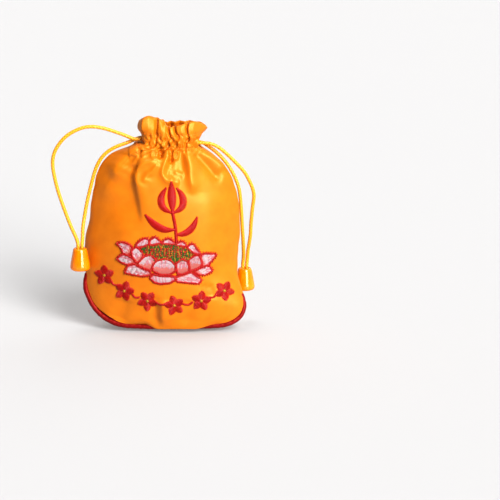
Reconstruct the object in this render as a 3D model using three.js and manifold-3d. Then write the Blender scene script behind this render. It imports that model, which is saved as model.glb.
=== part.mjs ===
// A small stuffed drawstring pouch. Two satin panels are sewn together round the sides and the bottom, with
// a covered piping in the bottom seam. The neck is gathered by two drawstrings that run right round it in a
// casing, one leaving at each side, and each is knotted into a bell-shaped cord end.
// Millimetres, +Z up. The front faces -Y, and the origin is on the floor below the middle of the pouch.

import * as THREE from "three";
import { mergeVertices } from "three/addons/utils/BufferGeometryUtils.js";
import Module from "manifold-3d";

const manifold = await Module();
manifold.setup();

// Driving dimensions
const CLOTH = 1.2; // satin with its backing
const GAP = 0.3; // between pieces that are sewn or held together
const COLUMNS = 26; // facets across a panel, from side seam to side seam
const PIPING_RADIUS = 1.6;
const PIPING_ENDS = { left: 36, right: 23 }; // heights
const CORD_RADIUS = 1.1;
const CORD_SIDES = 8;
const CASING_ROOM = 4.4; // between the two layers of cloth that the drawstrings run in
const BELL_HEIGHT = 14;
const BELL_RADIUS = 6.3;
const BELL_HOLE_RADIUS = 2.7;
const BELL_ROOF = 2; // thickness of its top
const KNOT_RADIUS = 3.2;
const STRAND_OFFSET = 1.25; // of each strand from the middle of the bell's hole

const named = (columns) => (row) => Object.fromEntries(columns.map((name, i) => [name, row[i]]));

// Sections from the bottom seam up to the rim of the frill. seamZ, half and seamY place the side seams, lean is
// how far the middle stands to the right, front and back give the middle line of each panel, and gather is how
// far the pleats stand out. lens is 1 for an ellipse and 2 for a flat lens with a sharp side seam. The back panel
// runs under the pouch, so its lowest sections are pressed flat on the floor.
const SECTIONS = [
  [5.2, 23.8, 4.2, -12.5, -12.5, 5.2, -12.5, 5.2, 0, 1.6],
  [5.8, 31.8, 4.8, -12, -15.4, 6.8, -5, -0.6, 0, 1.6],
  [7.8, 38.2, 4.6, -10.8, -17.3, 10, 2.5, -4, 0, 1.6],
  [11.2, 43.2, 4, -9, -18.7, 14.6, 10, -3.5, 0, 1.6],
  [16.1, 46.7, 3, -7, -19.9, 20.3, 16.5, 2, 0, 1.6],
  [22.8, 48.2, 1, -4.8, -21, 27.6, 20, 12, 0, 1.6],
  [32.1, 48, -1.5, -2.6, -21.8, 37, 21.7, 25, 0, 1.6],
  [43, 48.2, -2.5, -1, -22, 47.5, 22, 40, 0, 1.6],
  [56, 48.5, -1.7, -0.4, -21.4, 59.5, 21.4, 55, 0, 1.6],
  [69, 47.4, -0.1, 0, -20.4, 71.5, 20.5, 69, 0, 1.6],
  [81, 46.2, 0.2, 0, -19.2, 82.5, 19.3, 81, 0, 1.6],
  [91, 44.2, 0, 0, -17.9, 92, 17.9, 91, 0.3, 1.6],
  [98.5, 41.9, -0.6, 0, -16.6, 99, 16.6, 98.5, 0.6, 1.55],
  [104.5, 38.8, -1.2, 0, -15.4, 104.5, 15.4, 104.5, 1, 1.5],
  [109, 35, -1.8, 0, -14.3, 108.8, 14.3, 108.8, 1.4, 1.42],
  [112.5, 30.8, -1.9, 0, -13.2, 112.2, 13.2, 112.2, 1.6, 1.34],
  [115, 26, -1, 0, -12.2, 115, 12.2, 115, 1.6, 1.24],
  [117, 20.8, 1.2, 0, -11.4, 117.3, 11.4, 117.3, 1.4, 1.15],
  [119.5, 17.7, 2.8, 0, -10.8, 119.8, 10.8, 119.8, 1.3, 1.1],
  [122, 18.2, 3.4, 0, -10.6, 122.3, 10.6, 122.3, 1.3, 1.1],
  [125, 19.2, 4, 0, -10.7, 125, 10.7, 125, 1.5, 1.1],
  [128.5, 20.4, 4.7, 0, -11.4, 128.5, 11.4, 128.5, 2.1, 1.1],
  [132, 20.8, 5.6, 0, -12.4, 131.5, 12.4, 131.5, 2.8, 1.1],
].map(named(["seamZ", "half", "lean", "seamY", "frontY", "frontZ", "backY", "backZ", "gather", "lens"]));
const RIM = SECTIONS.length - 1;
const FRILL = 4; // sections of the frill above the neck
const CASING_FOOT = 16.6; // sections between which the casing is stitched down
const CASING_HEAD = 20;
const CORD_ROW = { left: 19.05, right: 17.95 }; // sections at which the drawstrings run, one above the other

// Pleats of the gathered neck, from the left seam to the right. from and to are places across the panel, -1 and
// 1 at the seams. swell scales the gather, and rise lifts the frill's rim.
const PLEATS = {
  front: [
    [-1, -0.29, 1.3, 4.6],
    [-0.29, 0, 1, 1.6],
    [0, 0.19, 0.75, 0],
    [0.19, 0.47, 0.9, 0.4],
    [0.47, 1, 1.2, 1],
  ].map(named(["from", "to", "swell", "rise"])),
  back: [
    [-1, -0.62, 1, 3],
    [-0.62, -0.3, 0.8, 1],
    [-0.3, 0.05, 1, 2],
    [0.05, 0.36, 0.8, 0.5],
    [0.36, 0.66, 0.9, 1.5],
    [0.66, 1, 1, 1],
  ].map(named(["from", "to", "swell", "rise"])),
};

// Folds of the stuffed body. Each runs from a head to a foot, given by a place across and a height. wide is its
// half width in the same measure across, and depth is negative for a ridge. peak is where it is deepest, from 0
// at its head to 1 at its foot.
const FOLDS = {
  front: [
    [-0.42, 113, -0.2, 54, 0.075, 3.2, 0.25],
    [-0.64, 112, -0.74, 88, 0.09, 2, 0.3],
    [0.56, 113, 0.66, 86, 0.09, 2, 0.3],
    [0.1, 112, 0.06, 92, 0.06, 1.6, 0.2],
    [0.05, 26, 0.2, 0, 0.14, -2.6, 0.9],
    [-0.45, 20, -0.5, 3, 0.16, 1.5, 0.8],
  ].map(named(["headU", "headZ", "footU", "footZ", "wide", "depth", "peak"])),
  back: [
    [-0.46, 113, -0.36, 62, 0.09, 2.4, 0.25],
    [0.06, 112, 0.12, 78, 0.08, 1.8, 0.3],
    [0.52, 113, 0.44, 68, 0.09, 2.2, 0.25],
  ].map(named(["headU", "headZ", "footU", "footZ", "wide", "depth", "peak"])),
};

// Free strands of the drawstrings, from the side of the neck down to the bell
const STRANDS = {
  left: {
    front: [
      [-18.5, -1.9, 122], [-23.3, -1.9, 123.8], [-28.4, -2, 125.8], [-33.4, -2.2, 127.6], [-38.4, -2.5, 129.1],
      [-44.1, -3, 130.1], [-50.4, -3.2, 129.6], [-56, -3.5, 127.4], [-61.1, -3.8, 124.2], [-65.5, -4, 119.4],
      [-68.4, -4.2, 114.4], [-69.7, -4.4, 109.3], [-69.7, -4.6, 104.2], [-68.7, -5, 98.2], [-66.8, -5.3, 90],
      [-64.3, -5.7, 82], [-61.1, -6.3, 73], [-57.9, -7.3, 65], [-54.9, -8.5, 58.1],
    ],
    back: [
      [-18.8, 1.9, 120.7], [-23, 1.2, 119], [-27.2, 0.6, 117.6], [-31.3, 0.3, 115.9], [-35.2, 0.2, 113.5],
      [-37.9, 0.1, 111.1], [-40.3, 0, 108], [-42.4, 0, 104], [-44, 0, 99.6], [-45.4, -0.1, 94.5],
      [-46.9, -0.3, 88.6], [-48.3, -0.7, 82.8], [-49.5, -1.6, 76.8], [-50.6, -3, 70.4], [-51.4, -5, 64.3],
      [-51.6, -7.3, 58.1],
    ],
  },
  right: {
    front: [
      [25.4, -1.9, 119.4], [30.6, -1.7, 118.3], [35.9, -1.2, 115], [41.2, -0.6, 110], [46.2, 0, 104.7],
      [50, 0.4, 100.2], [53.2, 0.8, 94.4], [55.4, 1.2, 88.8], [56.1, 1.6, 84.4], [55.8, 2, 81], [55.2, 2.5, 76.4],
      [54.7, 3.1, 71], [54.2, 4, 65], [53.9, 4.9, 58.8], [53.4, 5.9, 54.4], [52.7, 7.1, 49.8], [52.1, 8.4, 45],
      [51.8, 9.2, 40.6],
    ],
    back: [
      [23.6, 1.9, 118.8], [28.1, 1.5, 116.2], [32.6, 1.2, 112.7], [36.4, 1.2, 108.8], [39.9, 1.2, 104.3],
      [43.1, 1.2, 98.8], [45.3, 1.4, 93.7], [46.7, 1.6, 89], [47.4, 1.8, 84], [47.9, 2, 78.4], [48.3, 2.2, 72.4],
      [48.6, 2.5, 66.4], [48.9, 3, 61], [49.2, 3.9, 56], [49.4, 5.3, 51.4], [49.5, 6.8, 47], [49.5, 8.4, 43],
      [49.3, 9.1, 40.4],
    ],
  },
};
// Where the bells hang, at the middle of their tops
const BELL_TOPS = {
  left: new THREE.Vector3(-53.1, -9.2, 53.4),
  right: new THREE.Vector3(50.3, 9.2, 35.6),
};
const TURN_OFF = 0.7; // place across the panel at which a drawstring turns off to the side seam

// Interpolation down the table of sections
const columns = Object.keys(SECTIONS[0]);
const sectionCurve = new THREE.CubicInterpolant(
  SECTIONS.map((_, i) => i),
  SECTIONS.flatMap((row) => Object.values(row)),
  columns.length,
);
const sectionAt = (row) => named(columns)(Array.from(sectionCurve.evaluate(row)));

// A point of a panel's outer face without pleats or folds, u from -1 at the left seam to 1 at the right
function basePoint(side, u, row) {
  const s = sectionAt(row);
  const turn = (u * Math.PI) / 2;
  const swell = Math.max(0, Math.cos(turn)) ** s.lens;
  const middleY = side === "front" ? s.frontY : s.backY;
  const middleZ = side === "front" ? s.frontZ : s.backZ;
  return new THREE.Vector3(
    s.lean + s.half * Math.sin(turn),
    THREE.MathUtils.lerp(s.seamY, middleY, swell),
    Math.max(0, THREE.MathUtils.lerp(s.seamZ, middleZ, swell)),
  );
}

const outwardSign = { front: 1, back: -1 };

// The outward normal of a panel's plain face
function outward(side, u, row) {
  const step = 0.02;
  const across = basePoint(side, Math.min(1, u + step), row).sub(basePoint(side, Math.max(-1, u - step), row));
  const up = basePoint(side, u, Math.min(RIM, row + step)).sub(basePoint(side, u, Math.max(0, row - step)));
  return across.cross(up).normalize().multiplyScalar(outwardSign[side]);
}

const bell = (x) => Math.exp(-x * x);

// How far the pleats stand out at a place of the neck, and how much they lift the rim
function pleatAt(side, u, row) {
  const pleat = PLEATS[side].find((p) => u <= p.to) ?? PLEATS[side].at(-1);
  const lobe = Math.sin((Math.PI * (u - pleat.from)) / (pleat.to - pleat.from));
  const round = Math.max(0, lobe) ** 0.8;
  const inFrill = Math.max(0, (row - (RIM - FRILL)) / FRILL) ** 2;
  return { out: round * pleat.swell * sectionAt(row).gather, lift: round * pleat.rise * inFrill };
}

// How far the folds of the body sink at a place
function foldAt(side, u, z) {
  return FOLDS[side].reduce((sum, fold) => {
    const along = (fold.headZ - z) / (fold.headZ - fold.footZ);
    const middle = THREE.MathUtils.lerp(fold.headU, fold.footU, along);
    const reach = along < fold.peak ? fold.peak + 0.12 : 1 - fold.peak + 0.12;
    const strength = bell((1.7 * (along - fold.peak)) / reach);
    return sum + fold.depth * strength * bell((u - middle) / fold.wide);
  }, 0);
}

const nearSeam = (u) => THREE.MathUtils.smoothstep(Math.abs(u), 0.8, 0.97);

// A point of a panel's outer face, as it is seen
function facePoint(side, u, row) {
  const point = basePoint(side, u, row);
  const pleat = pleatAt(side, u, row);
  const sunk = foldAt(side, u, point.z) * (1 - nearSeam(u)) * Math.min(1, row / 2);
  point.addScaledVector(outward(side, u, row), pleat.out - sunk);
  point.z = Math.max(0, point.z + pleat.lift);
  return point;
}

// The direction from the outer face into the cloth: along the seam where two panels meet, and along the normal
// elsewhere
function inward(side, u, row) {
  const edge = Math.max(nearSeam(u), 1 - Math.min(1, row));
  const step = 0.1;
  const low = sectionAt(Math.max(0, row - step));
  const high = sectionAt(Math.min(RIM, row + step));
  const sideways = -Math.sign(u) * nearSeam(u) * (high.seamZ - low.seamZ);
  const alongSeam = new THREE.Vector3(sideways, 0, high.half - low.half + (row < 1 ? 1 : 0));
  if (row > 1) alongSeam.z = Math.max(0, alongSeam.z);
  return outward(side, u, row).negate().lerp(alongSeam.normalize(), edge).normalize();
}

const INNER_PLEAT_SHARE = 0.45; // the inside of the gathers is fuller than the outside

// A point of a panel at a depth below its outer face
function depthPoint(side, u, row, depth) {
  if (depth === 0) return facePoint(side, u, row);
  const away = side === "front" ? -1 : 1;
  const pleat = pleatAt(side, u, row);
  const point = facePoint(side, u, row);
  const kept = depth > CLOTH ? 0 : INNER_PLEAT_SHARE;
  point.addScaledVector(outward(side, u, row), -pleat.out * (1 - kept));
  point.addScaledVector(inward(side, u, row), depth);
  const seamY = sectionAt(row).seamY;
  if (row > 0) point.y = seamY + away * Math.max(0, away * (point.y - seamY));
  return point;
}

// Solids from grids of points and back
function solidOf(geometry) {
  geometry.deleteAttribute("normal");
  geometry.deleteAttribute("uv");
  const merged = mergeVertices(geometry, 1e-3);
  const vertProperties = new Float32Array(merged.attributes.position.array);
  const triVerts = new Uint32Array(merged.index.array);
  return new manifold.Manifold(new manifold.Mesh({ numProp: 3, vertProperties, triVerts }));
}

function geometryOf(solid) {
  const mesh = solid.getMesh();
  return new THREE.BufferGeometry()
    .setAttribute("position", new THREE.BufferAttribute(mesh.vertProperties, 3))
    .setIndex(new THREE.BufferAttribute(mesh.triVerts, 1));
}

// A sheet of cloth between two depths over a run of sections, closed round its edges
function sheet(side, rows, outerDepth, innerDepth) {
  const across = Array.from({ length: COLUMNS + 1 }, (_, i) => (2 * i) / COLUMNS - 1);
  const away = new THREE.Vector3(0, ((side === "front" ? -1 : 1) * GAP) / 2, 0);
  const layer = (depth) => rows.map((row, r) => across.map((u) => depthPoint(side, u, row, depth(r)).add(away)));
  const points = [...layer(outerDepth), ...layer(innerDepth)].flat();
  const wide = across.length;
  const inner = rows.length * wide;
  const faces = [];
  const quad = (a, b, c, d) => faces.push(...(side === "front" ? [a, b, c, a, c, d] : [a, c, b, a, d, c]));
  for (let r = 0; r < rows.length - 1; r++) {
    for (let c = 0; c < COLUMNS; c++) {
      const at = r * wide + c;
      quad(at, at + 1, at + wide + 1, at + wide);
      quad(inner + at, inner + at + wide, inner + at + wide + 1, inner + at + 1);
    }
    const left = r * wide;
    const right = left + COLUMNS;
    quad(left, left + wide, inner + left + wide, inner + left);
    quad(right, inner + right, inner + right + wide, right + wide);
  }
  const top = (rows.length - 1) * wide;
  for (let c = 0; c < COLUMNS; c++) {
    quad(c, inner + c, inner + c + 1, c + 1);
    quad(top + c, top + c + 1, inner + top + c + 1, inner + top + c);
  }
  return new THREE.BufferGeometry()
    .setAttribute("position", new THREE.BufferAttribute(new Float32Array(points.flatMap((p) => p.toArray())), 3))
    .setIndex(faces);
}

// The gap in a side seam where a drawstring leaves the casing
function seamSlit(side) {
  const slitLength = 9;
  const slitHalf = { y: 4.2, z: 2.6 };
  const neck = sectionAt(CORD_ROW[side]);
  const sign = side === "left" ? -1 : 1;
  const geometry = new THREE.CylinderGeometry(1, 1, slitLength, 12);
  geometry.rotateZ(Math.PI / 2).scale(1, slitHalf.y, slitHalf.z);
  geometry.translate(neck.lean + sign * (neck.half - 0.3), 0, neck.seamZ);
  return solidOf(geometry);
}

// A panel: the cloth from the bottom seam to the rim, and the hem behind it that makes the casing
function panel(side) {
  const wallRows = SECTIONS.map((_, i) => i);
  const wall = sheet(side, wallRows, () => 0, () => CLOTH);
  const bite = 0.5; // the hem's edges sink this far into the wall that they are stitched to
  const hemRows = [CASING_FOOT, 17.1, 17.7, 19, CASING_HEAD - 0.3, CASING_HEAD + 0.2];
  const room = (r) => CLOTH + ([0, hemRows.length - 1].includes(r) ? -bite : CASING_ROOM);
  const hem = sheet(side, hemRows, room, (r) => room(r) + 1);
  const sewn = solidOf(wall).add(solidOf(hem));
  return geometryOf(sewn.subtract(seamSlit("left")).subtract(seamSlit("right")).simplify(0.02));
}

// A round tube along a smooth route
function tube(route, radius, sides, steps) {
  const corners = Array.from({ length: sides }, (_, i) => {
    const angle = (2 * Math.PI * i) / sides;
    return new THREE.Vector2(radius * Math.cos(angle), radius * Math.sin(angle));
  });
  const extrudePath = new THREE.CatmullRomCurve3(route, false, "centripetal");
  return new THREE.ExtrudeGeometry(new THREE.Shape(corners), { steps, bevelEnabled: false, extrudePath });
}

// The piping lies just outside the bottom seam, from one side round to the other
function piping() {
  const out = PIPING_RADIUS + GAP;
  const point = (sign, row) => {
    const step = 0.1;
    const s = sectionAt(row);
    const low = sectionAt(Math.max(0, row - step));
    const high = sectionAt(row + step);
    const normal = new THREE.Vector2(high.seamZ - low.seamZ, low.half - high.half).normalize();
    return new THREE.Vector3(s.lean + sign * (s.half + out * normal.x), s.seamY, s.seamZ + out * normal.y);
  };
  const run = (side) => {
    const above = SECTIONS.findIndex((s) => s.seamZ > PIPING_ENDS[side]);
    const [low, high] = [SECTIONS[above - 1].seamZ, SECTIONS[above].seamZ];
    const endRow = above - 1 + (PIPING_ENDS[side] - low) / (high - low);
    const stops = Math.ceil(2 * endRow);
    return Array.from({ length: stops + 1 }, (_, i) => point(side === "left" ? -1 : 1, (endRow * i) / stops));
  };
  const bottom = new THREE.Vector3(SECTIONS[0].lean, SECTIONS[0].seamY, SECTIONS[0].seamZ - out);
  return tube([...run("left").reverse(), bottom, ...run("right")], PIPING_RADIUS, 8, 44);
}

// A bell-shaped cord end, its top at the origin and its mouth downwards
function cordEnd() {
  const wall = 1.4;
  const profile = [
    [BELL_HOLE_RADIUS, 0],
    [3.5, 0],
    [4.2, -0.8],
    [5, -4],
    [5.8, -8.2],
    [BELL_RADIUS, -BELL_HEIGHT + 1.6],
    [BELL_RADIUS - 0.2, -BELL_HEIGHT + 0.5],
    [BELL_RADIUS - 0.8, -BELL_HEIGHT],
    [BELL_RADIUS - wall, -BELL_HEIGHT + 0.4],
    [5.8 - wall, -8.2],
    [5 - wall, -4],
    [BELL_HOLE_RADIUS + 0.7, -BELL_ROOF],
    [BELL_HOLE_RADIUS, -BELL_ROOF + 0.2],
    [BELL_HOLE_RADIUS, 0],
  ].map(([radius, z]) => new THREE.Vector2(radius, z));
  return new THREE.LatheGeometry(profile.reverse(), 12).rotateX(Math.PI / 2);
}

// A drawstring: up one strand from its knot, right round the neck in the casing, and down the other strand
function drawstring(side) {
  const sign = side === "left" ? -1 : 1;
  const row = CORD_ROW[side];
  const neck = sectionAt(row);
  const stops = 9;
  const halfRound = (panelSide) =>
    Array.from({ length: stops }, (_, i) => {
      const u = sign * THREE.MathUtils.lerp(TURN_OFF, -1, i / stops);
      const into = inward(panelSide, u, row).setZ(0).setLength(CLOTH + CASING_ROOM / 2);
      return basePoint(panelSide, u, row).add(into);
    });
  const wideBend = 0.9; // the bend at the far seam swings out by this much
  const farX = neck.half - CLOTH - CASING_ROOM / 2 + wideBend;
  const farSeam = new THREE.Vector3(neck.lean - sign * farX, 0, neck.seamZ);
  const round = [...halfRound("front"), farSeam, ...halfRound("back").reverse()];
  const exitX = neck.lean + sign * (neck.half - 1);
  const exit = (strand) => new THREE.Vector3(exitX, strand === "front" ? -1.9 : 1.9, neck.seamZ);
  const free = (strand) => STRANDS[side][strand].map((p) => new THREE.Vector3(...p));
  const top = BELL_TOPS[side];
  const knot = top.clone().add(new THREE.Vector3(0, 0, -BELL_ROOF - GAP - KNOT_RADIUS));
  const ending = (strand) => {
    const outer = (strand === "front" ? sign : -sign) * STRAND_OFFSET;
    return [2.5, 0, -BELL_ROOF].map((z) => top.clone().add(new THREE.Vector3(outer, 0, z)));
  };
  const route = [
    knot.clone().add(new THREE.Vector3(sign, 0, 0)),
    ...ending("front").reverse(),
    ...free("front").reverse(),
    exit("front"),
    ...round,
    exit("back"),
    ...free("back"),
    ...ending("back"),
    knot.clone().add(new THREE.Vector3(-sign, 0, 0)),
  ];
  const lump = new THREE.SphereGeometry(KNOT_RADIUS, 8, 6).translate(knot.x, knot.y, knot.z);
  return geometryOf(solidOf(tube(route, CORD_RADIUS, CORD_SIDES, 64)).add(solidOf(lump)));
}

// Finishes
const satin = new THREE.MeshStandardMaterial({ color: 0xf7981d, roughness: 0.35 });
const redSatin = new THREE.MeshStandardMaterial({ color: 0xa81e24, roughness: 0.4 });
const goldCord = new THREE.MeshStandardMaterial({ color: 0xfdbb2a, roughness: 0.5 });
const amberPlastic = new THREE.MeshStandardMaterial({ color: 0xfda800, roughness: 0.2 });

function piece(name, geometry, material, place = new THREE.Vector3()) {
  const mesh = new THREE.Mesh(geometry, material);
  mesh.name = name;
  mesh.position.copy(place);
  return mesh;
}

const pouch = new THREE.Group();
pouch.add(
  piece("front_panel", panel("front"), satin),
  piece("back_panel", panel("back"), satin),
  piece("piping", piping(), redSatin),
);
for (const side of ["left", "right"]) {
  pouch.add(
    piece(side + "_drawstring", drawstring(side), goldCord),
    piece(side + "_cord_end", cordEnd(), amberPlastic, BELL_TOPS[side]),
  );
}

export default pouch;
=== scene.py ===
"""Looks of a small stuffed satin drawstring pouch: gathered neck, piped bottom seam, two drawstrings with
bell-shaped ends, and a lotus embroidered on the front. Tables are in millimetres, in the solids' frame."""

import math

import bpy
import numpy as np
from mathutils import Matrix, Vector
from mathutils.bvhtree import BVHTree


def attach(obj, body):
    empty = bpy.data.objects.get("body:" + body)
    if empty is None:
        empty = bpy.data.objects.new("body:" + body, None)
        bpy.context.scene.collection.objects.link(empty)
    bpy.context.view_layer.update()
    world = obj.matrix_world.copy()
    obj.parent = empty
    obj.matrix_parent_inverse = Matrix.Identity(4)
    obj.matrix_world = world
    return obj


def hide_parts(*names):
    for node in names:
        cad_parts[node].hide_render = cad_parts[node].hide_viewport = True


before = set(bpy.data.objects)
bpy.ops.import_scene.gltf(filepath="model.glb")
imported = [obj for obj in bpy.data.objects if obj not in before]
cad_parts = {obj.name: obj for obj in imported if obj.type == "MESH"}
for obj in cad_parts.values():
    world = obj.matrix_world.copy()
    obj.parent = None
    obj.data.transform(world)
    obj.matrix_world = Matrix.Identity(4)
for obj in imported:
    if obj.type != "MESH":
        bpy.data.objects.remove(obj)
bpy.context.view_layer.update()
scene = bpy.context.scene

MM = 0.001
ELEVATION = math.radians(15)  # of the camera, and of the way the folds and embroidery are drawn

# Sections of the cloth from the bottom seam to the frill's rim, as in the solids
SECTION_COLUMNS = "seam_z half lean seam_y front_y front_z back_y back_z lens".split()
SECTIONS = np.array([
    [5.2, 23.8, 4.2, -12.5, -12.5, 5.2, -12.5, 5.2, 1.6],
    [5.8, 31.8, 4.8, -12, -15.4, 6.8, -5, -0.6, 1.6],
    [7.8, 38.2, 4.6, -10.8, -17.3, 10, 2.5, -4, 1.6],
    [11.2, 43.2, 4, -9, -18.7, 14.6, 10, -3.5, 1.6],
    [16.1, 46.7, 3, -7, -19.9, 20.3, 16.5, 2, 1.6],
    [22.8, 48.2, 1, -4.8, -21, 27.6, 20, 12, 1.6],
    [32.1, 48, -1.5, -2.6, -21.8, 37, 21.7, 25, 1.6],
    [43, 48.2, -2.5, -1, -22, 47.5, 22, 40, 1.6],
    [56, 48.5, -1.7, -0.4, -21.4, 59.5, 21.4, 55, 1.6],
    [69, 47.4, -0.1, 0, -20.4, 71.5, 20.5, 69, 1.6],
    [81, 46.2, 0.2, 0, -19.2, 82.5, 19.3, 81, 1.6],
    [91, 44.2, 0, 0, -17.9, 92, 17.9, 91, 1.6],
    [98.5, 41.9, -0.6, 0, -16.6, 99, 16.6, 98.5, 1.55],
    [104.5, 38.8, -1.2, 0, -15.4, 104.5, 15.4, 104.5, 1.5],
    [109, 35, -1.8, 0, -14.3, 108.8, 14.3, 108.8, 1.42],
    [112.5, 30.8, -1.9, 0, -13.2, 112.2, 13.2, 112.2, 1.34],
    [115, 26, -1, 0, -12.2, 115, 12.2, 115, 1.24],
    [117, 20.8, 1.2, 0, -11.4, 117.3, 11.4, 117.3, 1.15],
    [119.5, 17.7, 2.8, 0, -10.8, 119.8, 10.8, 119.8, 1.1],
    [122, 18.2, 3.4, 0, -10.6, 122.3, 10.6, 122.3, 1.1],
    [125, 19.2, 4, 0, -10.7, 125, 10.7, 125, 1.1],
    [128.5, 20.4, 4.7, 0, -11.4, 128.5, 11.4, 128.5, 1.1],
    [132, 20.8, 5.6, 0, -12.4, 131.5, 12.4, 131.5, 1.1],
])

# Places up the cloth, as numbers of these sections
RIM = len(SECTIONS) - 1
CASING_HEAD = 20
TIED_ROW = 19
STITCH_ROWS = (17.3, 20.3)
CORD_ROW = {"left": 19.05, "right": 17.95}
NARROWING = (14.8, 18)  # where the cloth draws in to the neck
PLEATING = (15.2, 17.8)  # where it takes up the pleats

CLOTH = 1.2  # its thickness in the solids
SATIN = 0.55  # its thickness as drawn here
CASING_ROOM = 4.4
CASING_FOOT = 118
SLIT_HALF_WIDTH = 3.2  # of the gap in the side seam for a drawstring
SLIT_HALF_HEIGHT = 3
FLAT_HALF_WIDTH = 56

# Pleats of the neck seen from above: place across the cloth, (x, y) at the casing, (x, y) half way up the
# frill, and (x, y, z) at the rim. The cloth is nearly flat between these places and bends at them.
PLEAT_BEND = 0.026  # half the width of a bend, across the cloth
RIM_BEND = 0.09  # the same for the rim's height
RIM_HEIGHT = 6  # its column, after the place across
NECK = {"front": [
    (-1, -13, 0, -15.2, 0, -14.4, 0, 132.4),
    (-0.86, -13.8, -3.6, -16.7, -4.8, -15.8, -3.6, 134.2),
    (-0.72, -12.4, -8.4, -13.9, -11.2, -12.9, -8.8, 137.4),
    (-0.58, -9.4, -10.4, -9.8, -11.2, -9.6, -8.4, 138.6),
    (-0.44, -6.2, -10.2, -6, -10, -6, -7, 137.2),
    (-0.395, -5, -9, -4.4, -7.8, -4, -4.8, 136.2),
    (-0.35, -4.3, -10.8, -3.6, -10.8, -3.2, -8, 136.8),
    (-0.27, -2.2, -11.6, -1.7, -11.4, -1.8, -8.2, 135.6),
    (-0.22, -0.7, -11.8, -0.4, -11.2, -0.5, -5.8, 136),
    (-0.17, 0.9, -11.7, 0.8, -11, 0.6, -8.4, 134.6),
    (-0.09, 2.7, -10.9, 2.4, -9.9, 1.9, -8.4, 132),
    (-0.05, 3.5, -9.2, 3.2, -7.8, 2.6, -6.2, 131),
    (-0.01, 4.3, -11.2, 4, -11, 3.6, -9.2, 131),
    (0.06, 6.7, -11, 6.1, -10.2, 5.5, -8.4, 131.4),
    (0.1, 8.2, -9.2, 7.3, -7.8, 6.4, -6.2, 131.6),
    (0.14, 9.2, -11.1, 8.2, -11.2, 7.6, -9.4, 132),
    (0.24, 11.4, -11.2, 11, -11.2, 10.8, -9.2, 132.8),
    (0.33, 13.3, -10.2, 13.2, -10, 13.7, -8, 133.6),
    (0.37, 14.4, -8.6, 14, -7.8, 14.6, -6, 133.6),
    (0.42, 15.4, -10.2, 15.2, -10.7, 16, -8.8, 134.4),
    (0.55, 17.7, -9, 18.4, -9.5, 19.4, -7.4, 134.8),
    (0.74, 20.2, -5.8, 22, -6.4, 23.4, -4.4, 132.8),
    (0.9, 21.9, -2.6, 24.8, -2.9, 26.2, -2, 130.2),
    (1, 22, 0, 25.6, 0, 27, 0, 128.8),
], "back": [
    (-1, -13, 0, -15.2, 0, -14.4, 0, 132.4), (-0.85, -14.4, 4, -15.8, 4.2, -15.2, 4.4, 132),
    (-0.68, -12, 8.2, -13, 8.8, -12.6, 8.8, 132.2), (-0.56, -9.6, 9.2, -10, 9, -9.8, 8.4, 131.4),
    (-0.44, -7.2, 11, -7.4, 11.2, -7.4, 10.6, 131.2), (-0.33, -4.6, 9.2, -4.4, 8.8, -4.2, 8.2, 130.6),
    (-0.2, -1.4, 11.4, -1.3, 11.6, -1.4, 10.8, 130.8), (-0.1, 1.2, 9.4, 1.5, 8.8, 1.8, 8.2, 130.4),
    (0.02, 3.6, 11.4, 3.8, 11.6, 3.8, 10.8, 130.8), (0.13, 6, 9.4, 6.4, 9, 6.6, 8.6, 130.6),
    (0.25, 8.6, 11.4, 9.2, 11.6, 9.6, 11, 131), (0.37, 11.6, 9.6, 12.2, 9.2, 12.8, 8.8, 130.8),
    (0.49, 14.2, 10.6, 15, 11, 15.8, 10.6, 131.2), (0.61, 16.6, 8, 17.8, 8.2, 18.8, 7.8, 131),
    (0.77, 19.8, 6.6, 21.4, 7, 22.6, 6.8, 131.2), (0.9, 21.7, 2.8, 24.4, 3, 26, 2.8, 129.8),
    (1, 22, 0, 25.6, 0, 27, 0, 128.8),
]}

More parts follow.
